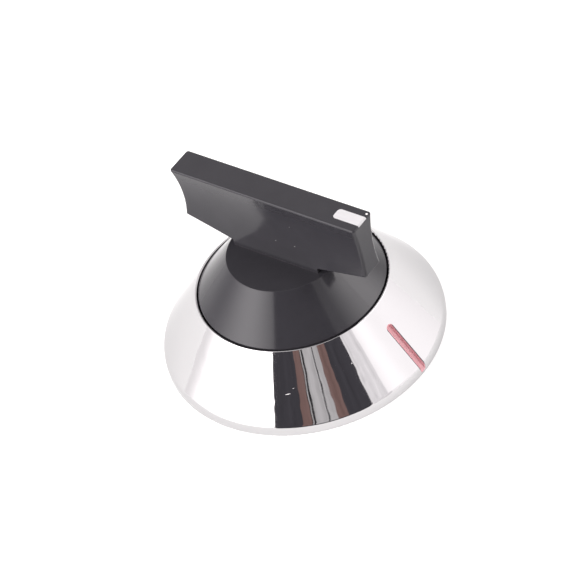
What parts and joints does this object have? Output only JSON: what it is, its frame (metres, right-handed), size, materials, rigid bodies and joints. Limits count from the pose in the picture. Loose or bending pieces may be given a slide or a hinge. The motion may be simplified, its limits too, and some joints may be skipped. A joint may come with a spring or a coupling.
{
  "type": "stove knob",
  "caption": "Black stove knob with a straight waisted grip bar on a conical boss, turning inside a chrome plated conical bezel with a red index groove.",
  "frame": {"origin": "centre of the bezel's base, on the panel face", "axes": "+Z along the turning axis, away from the panel; +X towards the index groove and the pointing end of the grip"},
  "size_m": [0.07, 0.07, 0.0474],
  "materials": {
    "chrome_plate": "bright chrome plate on a zinc casting",
    "red_enamel": "brushed-in red enamel",
    "black_phenolic": "satin moulded",
    "white_enamel": "satin white fill",
    "spring_steel": "bright rolled strip"
  },
  "bodies": {
    "bezel": {"bezel": "chrome_plate", "index_paint": "red_enamel"},
    "knob": {"knob_body": "black_phenolic", "pointer_inlay": "white_enamel", "shaft_spring": "spring_steel"}
  },
  "joints": [
    {"name": "knob_turn", "type": "hinge", "parent": "bezel", "child": "knob", "pos_m": [0, 0, 0.0174], "axis": [0, 0, 1], "continuous": true}
  ]
}
